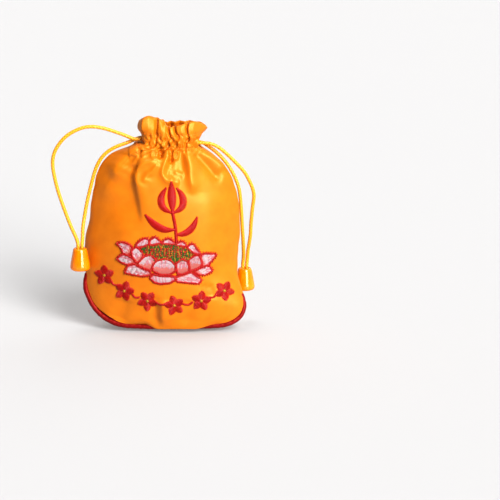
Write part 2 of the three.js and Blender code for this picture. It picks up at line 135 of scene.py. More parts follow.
# Folds of the stuffed cloth as lines of (across, up) seen square on from a little above, from the top down:
# depth, half width on the line's left and on its right, and how far along it starts to fade. A negative depth
# is a ridge.
FOLDS = {"front": [
    (-2.3, 4.2, 4.4, 0.7, [(-12, 113), (-15.2, 111.9), (-20.4, 108.6), (-24.9, 104.7), (-28.5, 100),
        (-34, 91)]),
    (-1.4, 1.6, 2.6, 0.6, [(-13, 108.4), (-16.2, 105.3), (-18.8, 102.8), (-23, 99.9), (-26.5, 97.5),
        (-33, 92)]),
    (1.7, 8, 2, 0.6, [(-16.2, 106.5), (-17.2, 102.5), (-18.6, 98.5), (-20.2, 95)]),
    (-1.2, 4, 10, 0.5, [(-28, 98), (-35.5, 87), (-40, 78)]),
    (2.1, 12, 3.6, 0.55, [(-21.4, 102), (-21.4, 95.4), (-21.5, 90.2), (-21, 85.7), (-19.8, 80.6),
        (-18.6, 76.1), (-17.8, 70.6), (-15.8, 60)]),
    (-1.4, 2.2, 10, 0.6, [(-16.6, 93), (-16.4, 88), (-15.4, 81), (-14, 73), (-12, 62)]),
    (1.6, 1.2, 1.4, 0.7, [(-14.6, 111), (-15, 107.5), (-15.6, 104.4)]),
    (-2, 2, 2.6, 0.55, [(-4.4, 103.6), (-6.8, 103), (-10.4, 102.4), (-13.6, 101), (-16.2, 98.9),
        (-17.2, 96.7), (-17.5, 93.8), (-17, 90.9), (-15.2, 88.3), (-12.7, 87), (-8.8, 86.1)]),
    (-1.4, 1.8, 2, 0.85, [(-3.4, 102), (-5.4, 99.2), (-7.8, 96.3), (-10.4, 94.4), (-11.7, 92.2),
        (-12.3, 89.6)]),
    (2.6, 1.3, 1.3, 0.8, [(-2, 112.5), (-2.1, 108.6), (-2.7, 104.2)]),
    (-1.6, 1.7, 1.9, 0.85, [(3.1, 110.5), (2.1, 105), (0.5, 101.8), (-0.6, 98.6), (-1.1, 95.4), (0.2, 92.8),
        (1.8, 90.9), (4.7, 90.2), (7.3, 89.7)]),
    (2.2, 1.1, 1.1, 0.8, [(4.4, 112.6), (4.2, 105.7), (4.5, 101)]),
    (1.5, 2, 2.4, 0.7, [(4.4, 105), (3.6, 98), (2.4, 92)]),
    (-1.1, 1.6, 1.8, 0.85, [(4.2, 98.6), (3.6, 95.6), (4.6, 92.4), (7.1, 90.2), (10.3, 89.9)]),
    (-0.8, 1.4, 1.4, 0.8, [(6.5, 96.7), (10.3, 95), (12.9, 94.1)]),
    (1.6, 4.2, 2.4, 0.6, [(10.5, 111), (11.2, 104), (11.5, 98), (12.6, 91)]),
    (-1.9, 1.7, 4.6, 0.7, [(12.9, 109.2), (14.2, 105), (15.5, 100.2), (15.8, 95), (16.5, 90.2), (17.2, 85),
        (16.4, 81.5)]),
    (2.1, 2.6, 2.2, 0.8, [(19.3, 108.9), (24.5, 103.7), (29, 98.6), (32.2, 94.7), (37, 91.8)]),
    (-1.7, 2.2, 2.8, 0.8, [(21.3, 108.6), (25.8, 106.3), (30.6, 103.7), (34.8, 100.2), (37, 96.7)]),
    (-0.8, 0.8, 0.8, 0.9, [(6.5, 110.5), (6.2, 105.9), (7.2, 104.3), (8.6, 106), (8.9, 109.5)]),
    (-0.8, 0.8, 0.8, 0.9, [(-7.3, 109.6), (-6.8, 105), (-5.2, 104.4), (-3.9, 107.2), (-3.8, 110.6)]),
    (-1.8, 3.6, 4.6, 0.9, [(-0.8, 17), (-0.9, 7), (-1.2, -2)]),
    (1.5, 3, 2.6, 0.9, [(-5.8, 15), (-5.6, 6), (-5.4, -2)]),
    (1, 5, 4, 0.7, [(-25, 17), (-27, 8), (-30, 1)]),
    (1, 4, 4, 0.8, [(17, 16), (15, 9), (14, 0)]),
    (0.8, 1.8, 2.4, 0.7, [(24, 26.5), (26, 20.5), (25, 15.5)]),
    (0.7, 1.6, 2, 0.7, [(28, 26), (30, 21), (29, 17)]),
    (-1.2, 10, 9, 0.7, [(26, 84), (27, 60), (26, 28)]),
    (-0.8, 8, 8, 0.7, [(-24, 70), (-25, 50), (-24, 25)]),
], "back": [
    (3.2, 7, 2.6, 0.55, [(-19, 105), (-19.6, 92.5), (-16.5, 73), (-15, 58)]),
    (3, 2.6, 7, 0.55, [(19, 105), (20, 92), (16.5, 72), (15.5, 62)]),
    (2.6, 2.6, 5, 0.55, [(3, 106), (4.4, 92.5), (6, 77)]),
    (-2.2, 3.6, 3, 0.8, [(-12, 112.5), (-22, 104), (-29, 96)]),
    (-1.8, 2.2, 2.6, 0.8, [(-12, 106.5), (-22, 99.5), (-29, 96)]),
    (-2, 2.4, 3.2, 0.8, [(17, 111), (28, 103.6), (34, 95)]),
    (-1.5, 1.8, 2.2, 0.85, [(-6, 103), (-11, 100.5), (-13, 94), (-11, 88), (-7, 85)]),
    (-1.5, 1.8, 1.8, 0.85, [(9, 108), (7.8, 100), (10, 94), (13.5, 91)]),
    (1.8, 1.6, 1.8, 0.8, [(-8, 111), (-9.5, 105), (-10, 98)]),
    (1.8, 1.8, 1.6, 0.8, [(11, 111), (12, 104), (12, 98)]),
    (1.6, 6, 5, 0.8, [(-16, 30), (-18, 18), (-24, 5)]),
    (1.5, 5, 6, 0.8, [(16, 26), (17, 16), (20, 5)]),
    (-1, 9, 9, 0.7, [(-25, 82), (-26, 58), (-25, 30)]),
    (-1, 9, 9, 0.7, [(26, 84), (27, 60), (26, 32)]),
]}
FOLD_DEPTH = 1.15  # how much deeper all folds are than the table says
FOLD_ROUNDING = 0.2  # of a fold's bottom or crest, as a share of its half width
VALLEY_POWER = 1.7
RIDGE_POWER = 1.3  # ridges are sharper than valleys

# Small gathers below the casing and small creases in it
GATHERED = (-0.5, 0.74)  # part of the cloth's width
GATHERS = 18
GATHER_SEED = {"front": 31, "back": 32}
CREASES = 84
CREASE_SEED = {"front": 21, "back": 22}

# Free strands of the drawstrings from the neck to the bells, as in the solids
STRANDS = {("left", "front"): [
    (-18.5, -1.9, 122), (-23.3, -1.9, 123.8), (-28.4, -2, 125.8), (-33.4, -2.2, 127.6), (-38.4, -2.5, 129.1),
    (-44.1, -3, 130.1), (-50.4, -3.2, 129.6), (-56, -3.5, 127.4), (-61.1, -3.8, 124.2), (-65.5, -4, 119.4),
    (-68.4, -4.2, 114.4), (-69.7, -4.4, 109.3), (-69.7, -4.6, 104.2), (-68.7, -5, 98.2), (-66.8, -5.3, 90),
    (-64.3, -5.7, 82), (-61.1, -6.3, 73), (-57.9, -7.3, 65), (-54.9, -8.5, 58.1),
], ("left", "back"): [
    (-18.8, 1.9, 120.7), (-23, 1.2, 119), (-27.2, 0.6, 117.6), (-31.3, 0.3, 115.9), (-35.2, 0.2, 113.5),
    (-37.9, 0.1, 111.1), (-40.3, 0, 108), (-42.4, 0, 104), (-44, 0, 99.6), (-45.4, -0.1, 94.5),
    (-46.9, -0.3, 88.6), (-48.3, -0.7, 82.8), (-49.5, -1.6, 76.8), (-50.6, -3, 70.4), (-51.4, -5, 64.3),
    (-51.6, -7.3, 58.1),
], ("right", "front"): [
    (25.4, -1.9, 119.4), (30.6, -1.7, 118.3), (35.9, -1.2, 115), (41.2, -0.6, 110), (46.2, 0, 104.7),
    (50, 0.4, 100.2), (53.2, 0.8, 94.4), (55.4, 1.2, 88.8), (56.1, 1.6, 84.4), (55.8, 2, 81),
    (55.2, 2.5, 76.4), (54.7, 3.1, 71), (54.2, 4, 65), (53.9, 4.9, 58.8), (53.4, 5.9, 54.4),
    (52.7, 7.1, 49.8), (52.1, 8.4, 45), (51.8, 9.2, 40.6),
], ("right", "back"): [
    (23.6, 1.9, 118.8), (28.1, 1.5, 116.2), (32.6, 1.2, 112.7), (36.4, 1.2, 108.8), (39.9, 1.2, 104.3),
    (43.1, 1.2, 98.8), (45.3, 1.4, 93.7), (46.7, 1.6, 89), (47.4, 1.8, 84), (47.9, 2, 78.4),
    (48.3, 2.2, 72.4), (48.6, 2.5, 66.4), (48.9, 3, 61), (49.2, 3.9, 56), (49.4, 5.3, 51.4), (49.5, 6.8, 47),
    (49.5, 8.4, 43), (49.3, 9.1, 40.4),
]}
BELL_TOPS = {"left": np.array([-53.1, -9.2, 53.4]), "right": np.array([50.3, 9.2, 35.6])}
BELL_ROOF = 2
KNOT_RADIUS = 3.2
KNOT_DROP = BELL_ROOF + 0.3 + KNOT_RADIUS
STRAND_OFFSET = 1.25
STRAND_GAP = 1.9  # of each strand from the side seam where it leaves the casing
CORD_DIAMETER = 2.2
BRAID_STEP = 0.42  # between the rings of points along the cord
PLAIT_LENGTH = 3.4
PIPING_RADIUS = 1.6
PIPING_STEP = 0.5
PIPING_OFFSET = 1.8
PIPING_ENDS = {"left": 36, "right": 23}
PIPING_TUCK = {"left": 9, "right": 15}  # length over which its end sinks into the seam
SIGN = {"left": -1, "right": 1}
AWAY = {"front": -1, "back": 1}

# Embroidered lotus, each petal as an outline of (across, up) seen square on from a little above, with the way
# its tip points in degrees, the share of salmon thread at its foot, and how far its edge stitches straggle
PETALS = [
    (75, 0, 0.8, [(-17.8, 50.2), (-15.9, 53), (-12.8, 55), (-10, 54.8), (-9.4, 51.7), (-12.6, 50.2),
        (-15.7, 49.6)]),
    (85, 0, 0.8, [(-9.5, 51.3), (-8.6, 54.1), (-5.9, 56), (-4.1, 55), (-2.2, 52.5), (-4.7, 51.7),
        (-7.3, 51.2)]),
    (90, 0, 0.9, [(-1.6, 52.2), (0.6, 54.3), (3, 55.2), (4.9, 53.9), (6.6, 51.7), (2.9, 51.6)]),
    (95, 0, 0.9, [(7.7, 51), (9.1, 52.7), (11, 53.4), (12.8, 52.1), (13.7, 50.2), (10.8, 50.4)]),
    (115, 0, 0.9, [(14.6, 49.6), (15.6, 51), (17.9, 51.8), (21.2, 47.3), (22.5, 45.3), (19, 45.7),
        (16.6, 47.6)]),
    (140, 0.3, 0.6, [(-29.6, 52.1), (-26.8, 52.7), (-23.4, 52.1), (-20, 49.7), (-20.9, 46), (-23.6, 44.8),
        (-25.9, 46.6), (-27.3, 49.7)]),
    (165, 0.3, 0.6, [(-29.6, 42.6), (-26.8, 44.9), (-23.1, 44.6), (-19.2, 42.2), (-18.3, 39.8),
        (-22.7, 38.8), (-26.8, 40.2)]),
    (40, 0.3, 0.9, [(22.7, 44.5), (25.4, 45.7), (32.5, 45.3), (29.5, 41.5), (26.5, 38), (23.6, 37.5),
        (22.8, 40.7)]),
    (10, 0.3, 0.9, [(25.9, 38.1), (28.4, 37.6), (29.9, 34.9), (25.6, 32.6), (21.9, 32.5), (18.3, 34.6),
        (23.6, 37.1)]),
    (155, 0.15, 0.8, [(-24.5, 33.9), (-22.9, 38.1), (-18.8, 39), (-13.5, 36.2), (-8.6, 34.2), (-8.6, 32.4),
        (-13.9, 31.7), (-20.1, 32.8)]),
    (-30, 0.2, 0.6, [(7.3, 30.9), (11.3, 32.3), (16.6, 34), (19.7, 31.9), (23.2, 29.2), (21.4, 26.9),
        (15.2, 27.5), (7.7, 28.3)]),
    (-80, 0.1, 0.3, [(-9, 30.5), (-6.9, 32.7), (-2.4, 31.6), (3.3, 31.4), (6.5, 31.4), (6.5, 29.1),
        (3.4, 27.3), (-2.4, 26.8), (-6.1, 27.6)]),
    (115, 0.35, 0.1, [(-20.7, 47.6), (-17.9, 49.6), (-16.1, 49.1), (-13.8, 46), (-13, 44.1), (-15.6, 40.6),
        (-17.1, 40.1), (-19.8, 43.7)]),
    (70, 0.5, 0.1, [(15.2, 41.4), (18.3, 44.2), (21.5, 44.7), (23.3, 41.5), (23.7, 38.8), (19.7, 36.1),
        (16.1, 34.8), (15.5, 38.4)]),
    (100, 0.45, 0.1, [(-16.2, 39.7), (-14.4, 42.1), (-11.3, 44.6), (-8.6, 45.2), (-5, 41.5), (-6.8, 39.2),
        (-8.5, 35.3), (-12.6, 36.6), (-15.7, 38.4)]),
    (85, 0.5, 0.1, [(7.7, 39.8), (10.8, 42.3), (14, 41.1), (15.3, 38), (14.9, 34.4), (11.7, 32.8), (8.2, 33),
        (7.5, 37.1)]),
    (90, 0.52, 0.1, [(-7.4, 37.9), (-5.1, 41), (0.2, 42.7), (4.7, 41.1), (7.4, 37.1), (6.5, 34.4),
        (2.9, 32.4), (-2.4, 32.6), (-6.9, 34.8)]),
]
POD = [(-15.4, 49.9), (-11.3, 50.9), (-5.1, 51.6), (2, 51.8), (7.7, 51.3), (13, 50), (16.4, 48.2), (18, 45.8),
       (16.4, 42), (12.8, 40.8), (7.7, 39.6), (5.5, 39.8), (2, 41.6), (-2.9, 41), (-5.6, 40.6), (-9.4, 43.4),
       (-13.2, 46.6)]

# A closed bud on a stem above the lotus: width and middle line of the stem, then of the leaves and petals
STEM = (1.7, [(7.6, 52.4), (7.2, 60.5), (6.3, 66.2), (5.3, 71.2)])
BUD = [
    (4.6, [(6.4, 60.6), (1.2, 60.4), (-5.2, 63.2), (-11.6, 69.8)]),
    (4.2, [(7.2, 57.4), (12.6, 58.2), (17.6, 61.9), (20.6, 68.2)]),
    (4.4, [(4.4, 71.2), (-0.9, 74.6), (-1.8, 80.2), (1.4, 86.4)]),
    (4.4, [(6.2, 71.2), (11.2, 74.8), (11.8, 80.2), (8, 86.4)]),
    (5.4, [(5.3, 71.6), (5, 77.4), (4.8, 83.2), (4.7, 90.2)]),
]
# Blossoms in a garland below the lotus, and how far their petals reach
BLOSSOM_PLACES = np.array([
    (-37.8, 32.1), (-25.2, 22.3), (-10.7, 16), (6.1, 13.2), (23, 16), (37.5, 22.3)])
BLOSSOM_PETALS = 5
BLOSSOM_REACH = 5.9

# Stitches, their threads drawn about twice as thick as real ones so that they show
STITCH_STEPS = np.array([0, 0.12, 0.35, 0.65, 0.88, 1])
STITCH_ARCH = np.array([-0.5, 0.45, 1, 1, 0.45, -0.5])[:, None]
LINE_STEP = 0.6  # between points of a curved line of stitches
FILL_SPACING = 0.6
COLUMN_SPACING = 0.72
COLUMN_RADIUS = 0.36
POD_SPACING = 0.5
POD_RADIUS = 0.34


# Curves and smooth steps

def spline(knots, values, at):
    """Natural cubic spline through rows of values."""
    knots, values, at = (np.asarray(a, float) for a in (knots, values, at))
    flat = values.reshape(len(knots), -1)
    h = np.diff(knots)
    n = len(knots)
    left = np.eye(n)
    right = np.zeros_like(flat)
    for i in range(1, n - 1):
        left[i, i - 1:i + 2] = h[i - 1], 2 * (h[i - 1] + h[i]), h[i]
        right[i] = 6 * ((flat[i + 1] - flat[i]) / h[i] - (flat[i] - flat[i - 1]) / h[i - 1])
    bend = np.linalg.solve(left, right)
    k = np.clip(np.searchsorted(knots, at, side="right") - 1, 0, n - 2)
    a = ((knots[k + 1] - at) / h[k])[:, None]
    b = 1 - a
    curve = a * flat[k] + b * flat[k + 1]
    curve += ((a**3 - a) * bend[k] + (b**3 - b) * bend[k + 1]) * (h[k] ** 2 / 6)[:, None]
    return curve.reshape(len(at), *values.shape[1:])


def run_along(points):
    """Length of a bent line up to each of its points."""
    return np.r_[0, np.cumsum(np.linalg.norm(np.diff(points, axis=0), axis=1))]


def evenly(points, step):
    """Points about a step apart along a bent line."""
    points = np.asarray(points, float)
    length = run_along(points)
    at = np.linspace(0, length[-1], max(3, int(round(length[-1] / step)) + 1))
    return np.stack([np.interp(at, length, points[:, i]) for i in range(points.shape[1])], axis=1)


def through(points, step):
    """Points about a step apart along a smooth curve through the given ones."""
    points = np.asarray(points, float)
    along = run_along(points)
    return evenly(spline(along, points, np.linspace(0, along[-1], 40 * len(points))), step)


def ease(x, low, high):
    """0 below low, 1 above high and smooth between."""
    t = np.clip((np.asarray(x, float) - low) / (high - low), 0, 1)
    return t * t * (3 - 2 * t)


def hump(x):
    return np.exp(-np.square(x))


def unit(v):
    return v / np.maximum(np.linalg.norm(v, axis=-1, keepdims=True), 1e-12)


def spread(*coordinates):
    """Places of a grid from coordinates that may each be given for its rows or its columns alone."""
    return np.stack(np.broadcast_arrays(*coordinates), axis=-1)


def near_line(x, z, line):
    """Distance of each place to a bent line, positive on its right, and how far along it is, from 0 to 1."""
    line = np.asarray(line, float)
    lengths = np.linalg.norm(np.diff(line, axis=0), axis=1)
    starts = np.r_[0, np.cumsum(lengths)] / lengths.sum()
    best = np.full(x.shape, np.inf)
    along = np.zeros(x.shape)
    for (ax, az), (bx, bz), length, t0 in zip(line[:-1], line[1:], lengths, starts):
        t = np.clip(((x - ax) * (bx - ax) + (z - az) * (bz - az)) / length**2, 0, 1)
        d = np.hypot(x - ax - t * (bx - ax), z - az - t * (bz - az))
        to_right = (bx - ax) * (z - az) - (bz - az) * (x - ax) > 0
        nearer = d < np.abs(best)
        best = np.where(nearer, np.where(to_right, d, -d), best)
        along = np.where(nearer, t0 + t * length / lengths.sum(), along)
    return best, along


# The shape of the cloth

def sections_at(rows):
    found = spline(np.arange(RIM + 1), SECTIONS, np.clip(rows, 0, RIM))
    return {name: found[:, i:i + 1] for i, name in enumerate(SECTION_COLUMNS)}


def plain_panel(side, u, rows):
    """Points of a panel without pleats and folds: a row for each section, a column for each place across."""
    s = sections_at(rows)
    turn = np.asarray(u)[None, :] * math.pi / 2
    swell = np.clip(np.cos(turn), 0, 1) ** s["lens"]
    x = s["lean"] + s["half"] * np.sin(turn)
    y = s["seam_y"] + (s[side + "_y"] - s["seam_y"]) * swell
    z = s["seam_z"] + (s[side + "_z"] - s["seam_z"]) * swell
    if side == "back":
        z = 0.5 * (z + np.sqrt(z * z + 0.6))  # pressed flat on the floor
    return spread(x, y, z)


def pleats(side, u):
    """The pleats at places across the cloth: straight from bend to bend, with each bend rounded."""
    table = np.array(NECK[side])
    step = 0.001
    fine = np.arange(-1, 1 + step / 2, step)
    rounded = []
    for k, column in enumerate(table.T[1:]):
        reach = int((RIM_BEND if k == RIM_HEIGHT else PLEAT_BEND) / step)
        window = np.hanning(2 * reach + 1)
        straight = np.pad(np.interp(fine, table[:, 0], column), reach, mode="reflect", reflect_type="odd")
        rounded.append(np.interp(u, fine, np.convolve(straight, window / window.sum(), mode="valid")))
    return np.stack(rounded, axis=1)


def gathered_panel(side, u, rows):
    """The plain panel with the pleats of its neck and frill."""
    pleat = pleats(side, u)
    points = plain_panel(side, u, np.minimum(rows, CASING_HEAD))
    tied = pleat[:, :2] - plain_panel(side, u, [TIED_ROW])[0, :, :2]
    wide = np.hanning(len(u) // 5 | 1)
    padded = np.pad(tied, ((len(wide) // 2,) * 2, (0, 0)), mode="edge")
    smooth = np.stack([np.convolve(padded[:, i], wide / wide.sum(), mode="valid") for i in range(2)], axis=1)
    points[..., :2] += ease(rows, *NARROWING)[:, None, None] * smooth[None]
    points[..., :2] += ease(rows, *PLEATING)[:, None, None] * (tied - smooth)[None]
    in_frill = rows > CASING_HEAD
    levels = plain_panel(side, u, [TIED_ROW, CASING_HEAD])[..., :2] + tied[None]
    levels = np.concatenate([levels, [pleat[:, 2:4], pleat[:, 4:6]]])
    points[in_frill, :, :2] = spline(range(TIED_ROW, RIM + 1), levels, rows[in_frill])
    rise = (rows[in_frill, None] - CASING_HEAD) / (RIM - CASING_HEAD)
    points[in_frill, :, 2] += rise * (pleat[None, :, RIM_HEIGHT] - points[in_frill, :, 2])
    return points


def outward(points, side):
    across = np.gradient(points, axis=1)
    up = np.gradient(points, axis=0)
    return unit(np.cross(across, up)) * (1 if side == "front" else -1)


def folds(side, points):
    """How far each place of a panel sinks into its folds."""
    x = points[..., 0]
    up = points[..., 2] * math.cos(ELEVATION) - np.abs(points[..., 1]) * math.sin(ELEVATION)
    sunk = np.zeros(x.shape)
    for depth, left_width, right_width, fade, line in FOLDS[side]:
        away, along = near_line(x, up, through(line, 1.5))
        ends = ease(along, -0.1, 0.14) * (1 - ease(along, fade, 1.0))
        away = np.abs(away / np.where(away < 0, left_width, right_width))
        rounded = np.sqrt(away**2 + FOLD_ROUNDING**2) - FOLD_ROUNDING
        sunk += FOLD_DEPTH * depth * ends * np.exp(-(rounded ** (VALLEY_POWER if depth > 0 else RIDGE_POWER)))
    return sunk


def gathers(side, u, z):
    """Small gathers that run down the cloth from the foot of the casing, each soon smoothed out."""
    table = np.random.default_rng(GATHER_SEED[side])
    below = CASING_FOOT - z
    sunk = np.zeros(z.shape)
    for middle in np.linspace(*GATHERED, GATHERS):
        middle = middle + table.uniform(-0.02, 0.02)
        width = table.uniform(0.009, 0.02)
        drift = table.uniform(-0.004, 0.004)
        length = table.choice([5, 7, 10])
        across = (u[None, :] - middle - drift * below) / (width * (1 + 0.06 * np.maximum(below, 0)))
        fading = ease(below, -4, 1) * (1 - ease(below, 0.1 * length, length))
        sunk += table.choice([0.5, 0.4, -0.35]) * hump(across) * fading
    return sunk


def crumples(side, x, z, rows):
    """Small creases pressed into the casing by its two rows of stitching."""
    table = np.random.default_rng(CREASE_SEED[side])
    within = (ease(rows, 16.6, 17.6) * (1 - ease(rows, 20.2, 21)))[:, None]
    sunk = np.zeros(x.shape)
    for _ in range(CREASES):
        middle = np.array([table.uniform(-17, 23), table.uniform(116.5, 127)])
        slant = math.radians(table.uniform(-40, 40))
        half = table.uniform(1.5, 4.2) * np.array([math.sin(slant), math.cos(slant)])
        away, along = near_line(x, z, [middle + half, middle - half])
        depth = table.choice([0.8, 0.6, -0.7])
        sunk += depth * np.sin(np.pi * np.clip(along, 0.02, 0.98)) * hump(away / table.uniform(0.55, 1.0))
    stitching = sum(hump((rows - row) / 0.17) for row in STITCH_ROWS)
    return -sunk * within * ease(x, -15, -12) - 0.35 * stitching[:, None]


def seam_puckers(u, rows, z):
    edge = ease(np.abs(u), 0.72, 0.97)[None, :]
    body = (ease(rows, 4, 6) * (1 - ease(rows, 12, 14)))[:, None]
    wave = np.sin(z / 1.9 + 1.7 * np.sin(z / 7.3)) * 0.5 + np.sin(z / 3.1 + 0.6) * 0.5
    return 0.2 * edge * body * wave


def slit(u, rows, z):
    """How far each panel stands away from the side seam where a drawstring comes out."""
    opened = np.zeros((len(rows), len(u)))
    for side, row in CORD_ROW.items():
        level = sections_at(np.array([row]))["seam_z"][0, 0]
        at_side = ease(SIGN[side] * u, 0.7, 0.95)[None, :]
        opened += SLIT_HALF_WIDTH * at_side * np.exp(-np.abs((z - level) / SLIT_HALF_HEIGHT) ** 3)
    return opened


def seam_roll(side, u, rows, points):
    """Moves the sewn edge out and over the piping that it holds."""
    step = 0.01
    below = np.minimum(rows, RIM - step)
    here, ahead = sections_at(below), sections_at(below + step)
    run = (ahead["half"] - here["half"]) / step
    climb = (ahead["seam_z"] - here["seam_z"]) / step
    size = np.hypot(run, climb)
    out_x = np.sin(u * math.pi / 2)[None, :] * climb / size
    out_z = np.broadcast_to(-run / size, out_x.shape)
    edge = np.maximum(ease(np.abs(u), 0.8, 1)[None, :] ** 1.5, 1 - ease(rows, 0, 1.8)[:, None] ** 0.7)
    brim = np.maximum(ease(np.abs(u), 0.3, 1)[None, :], 1 - ease(rows, 0, 4)[:, None])
    x, z = points[..., 0], points[..., 2]
    piped = np.ones_like(x)
    for name, end in PIPING_ENDS.items():
        piped *= np.where(SIGN[name] * x > 0, 1 - ease(z, end - 6, end + 3), 1)
    corner_x, corner_z, corner_reach = -36, 9, 7  # here the piping shows more
    over = 0.4 - 1.2 * hump(np.hypot(x - corner_x, z - corner_z) / corner_reach)
    forward = brim
    if side == "front":
        hanging = ease(x, -13, -4) * (1 - ease(x, 18, 33)) * (1 - ease(z, 10, 18))
        hanging *= ease(rows, 0, 0.2)[:, None]
        over += 3.2 * hanging
        forward = brim + 1.8 * hanging * edge
    moved = points.copy()
    moved[..., 0] += piped * edge * over * out_x
    moved[..., 2] += piped * edge * over * out_z
    moved[..., 1] += AWAY[side] * piped * forward
    return moved


def draped_panel(side, u, rows):
    """Points of a panel as it hangs."""
    shape = gathered_panel(side, u, rows)
    plain = plain_panel(side, u, np.minimum(rows, CASING_HEAD))
    x, z = plain[..., 0], shape[..., 2]
    off_seam = 1 - ease(np.abs(u), 0.86, 1.0)[None, :]
    sunk = folds(side, shape) * ease(rows, 0.2, 2.2)[:, None] * (1 - ease(rows, 17.2, 18.6))[:, None]
    small = crumples(side, x, z, rows) - sunk - gathers(side, u, plain[..., 2])
    points = shape + outward(shape, side) * (small * off_seam + seam_puckers(u, rows, z))[..., None]
    points[..., 1] += AWAY[side] * slit(u, rows, z)
    return seam_roll(side, u, rows, points)


def even_rows(side, count):
    """Sections that spread a panel's rows evenly along its middle, closer at the gathers and the edge."""
    rows = np.linspace(0, RIM, 2000)
    line = plain_panel(side, np.array([0.0]), rows)[:, 0]
    stretch = run_along(line) + 34 * ease(rows, 13, 20.5) + 5 * ease(rows, 0, 0.6)
    return np.interp(np.linspace(0, stretch[-1], count), stretch, rows)


# Meshes

def new_object(name, points, faces, finish, uv=None):
    mesh = bpy.data.meshes.new(name)
    mesh.from_pydata((np.asarray(points).reshape(-1, 3) * MM).tolist(), [], np.asarray(faces).tolist())
    mesh.polygons.foreach_set("use_smooth", [True] * len(mesh.polygons))
    if uv is not None:
        loops = np.zeros(len(mesh.loops), np.int32)
        mesh.loops.foreach_get("vertex_index", loops)
        mesh.uv_layers.new(name="flat").data.foreach_set("uv", np.asarray(uv).reshape(-1, 2)[loops].ravel())
    mesh.materials.append(finish)
    mesh.update()
    made = bpy.data.objects.new(name, mesh)
    scene.collection.objects.link(made)
    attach(made, "root")
    return made


def grid_faces(rows, columns, closed=False, flip=False):
    """Quads of a grid of points, joined up sideways where it is closed."""
    r, c = np.indices((rows - 1, columns if closed else columns - 1))
    here = r * columns + c
    after = r * columns + (c + 1) % columns
    quads = np.stack([here, after, after + columns, here + columns], axis=-1).reshape(-1, 4)
    return quads[:, ::-1] if flip else quads


def tube(path, step, radius, sides, relief=None):
    """Points, faces and flat places of a cord along a path with a step between its points. Its rings are
    carried along without turning. Relief gives the share of the radius at each place round and along."""
    turn = np.linspace(0, 2 * np.pi, sides, endpoint=False)[None, :]
    along = np.arange(len(path))[:, None] * step
    share = np.broadcast_to(relief(turn, along) if relief else 1.0, (len(path), sides))
    tangent = unit(np.gradient(path, axis=0))
    normals = [unit(np.cross(tangent[0], [0, 1, 0.3]))]
    for t in tangent[1:]:
        normals.append(unit(normals[-1] - t * np.dot(normals[-1], t)))
    normal = np.array(normals)
    binormal = np.cross(tangent, normal)
    ring = np.cos(turn)[..., None] * normal[:, None] + np.sin(turn)[..., None] * binormal[:, None]
    points = path[:, None] + ring * (radius * share)[..., None]
    uv = spread(turn * radius, along)
    return points, grid_faces(len(path), sides, closed=True), uv


# Finishes

def linear(colour):
    """An sRGB hex colour as linear numbers."""
    channels = [int(colour[i:i + 2], 16) / 255 for i in (1, 3, 5)]
    return (*[c / 12.92 if c <= 0.04045 else ((c + 0.055) / 1.055) ** 2.4 for c in channels], 1.0)


def add_node(tree, kind, inputs=None, **settings):
    """Adds a node with its settings, and sets or links its inputs."""
    made = tree.nodes.new(kind)
    for key, value in settings.items():
        setattr(made, key, value)
    for key, value in (inputs or {}).items():
        if isinstance(value, bpy.types.NodeSocket):
            tree.links.new(value, made.inputs[key])
        else:
            made.inputs[key].default_value = value
    return made


def new_finish(name):
    finish = bpy.data.materials.new(name)
    finish.use_nodes = True
    finish.node_tree.nodes.clear()
    return finish, finish.node_tree


def woven_satin(name, dark, light, gloss, roughness):
    """Polyester satin: long floats of shiny yarn give a soft streaked gloss and a faint ribbing."""
    finish, tree = new_finish(name)
    flat = add_node(tree, "ShaderNodeUVMap", uv_map="flat")
    yarn_mm = 0.5  # real yarn is nearer 0.1 mm, drawn coarser so that it shows
    yarns = add_node(tree, "ShaderNodeTexWave", {
        "Vector": flat.outputs["UV"], "Scale": 2 * math.pi / (yarn_mm * 20), "Distortion": 1.2, "Detail": 2.0,
        "Detail Scale": 1.5}, wave_type="BANDS", bands_direction="X")
    slubs = add_node(tree, "ShaderNodeTexNoise", {"Vector": flat.outputs["UV"], "Scale": 0.12, "Detail": 4.0})
    tone = add_node(tree, "ShaderNodeMapRange", {
        "Value": slubs.outputs["Fac"], "From Min": 0.3, "From Max": 0.7})
    colour_mix = add_node(tree, "ShaderNodeMix", {
        "Factor": tone.outputs["Result"], "A": linear(dark), "B": linear(light)}, data_type="RGBA")
    ribs = add_node(tree, "ShaderNodeBump", {
        "Height": yarns.outputs["Fac"], "Strength": 0.05, "Distance": 0.0002})
    warp = add_node(tree, "ShaderNodeTangent", direction_type="UV_MAP", uv_map="flat")
    cloth = add_node(tree, "ShaderNodeBsdfPrincipled", {
        "Base Color": colour_mix.outputs["Result"], "Roughness": roughness, "IOR": 1.5, "Anisotropic": 0.3,
        "Specular Tint": linear(gloss), "Specular IOR Level": 0.75, "Normal": ribs.outputs["Normal"],
        "Tangent": warp.outputs["Tangent"]})
    add_node(tree, "ShaderNodeOutputMaterial", {"Surface": cloth.outputs["BSDF"]})
    return finish


